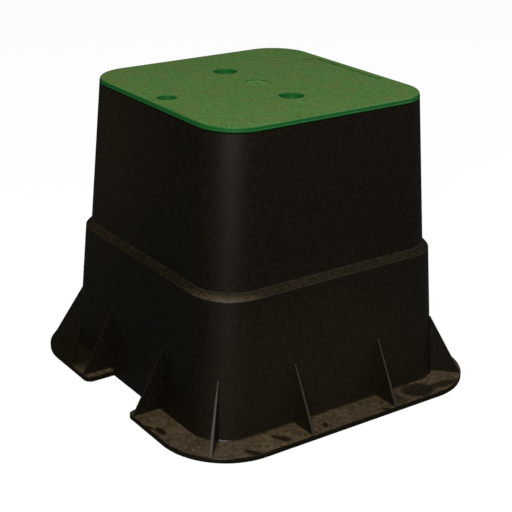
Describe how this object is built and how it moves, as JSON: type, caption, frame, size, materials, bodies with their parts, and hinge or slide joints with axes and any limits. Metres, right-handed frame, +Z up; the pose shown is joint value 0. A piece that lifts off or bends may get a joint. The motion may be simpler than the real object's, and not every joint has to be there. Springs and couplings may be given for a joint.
{
  "type": "irrigation valve box",
  "caption": "Square black plastic valve box with a stepped, tapered body, a ribbed foot flange and a green lift-off lid.",
  "frame": {"origin": "middle of the foot flange's underside", "axes": "+Z up through the lid; the flange's two gaps are in the -X and +X sides, and the lock bolt hole is by the -X side"},
  "size_m": [0.36, 0.36, 0.305],
  "materials": {
    "black_plastic": "satin, slightly shiny moulded polypropylene",
    "green_plastic": "satin, with a fine non-slip texture"
  },
  "bodies": {
    "box": {"box_body": "black_plastic"},
    "cover": {"lid": "green_plastic"}
  },
  "joints": [
    {"name": "lid_lift", "type": "slide", "parent": "box", "child": "cover", "axis": [0, 0, 1], "range_m": [0, 0.2]}
  ]
}
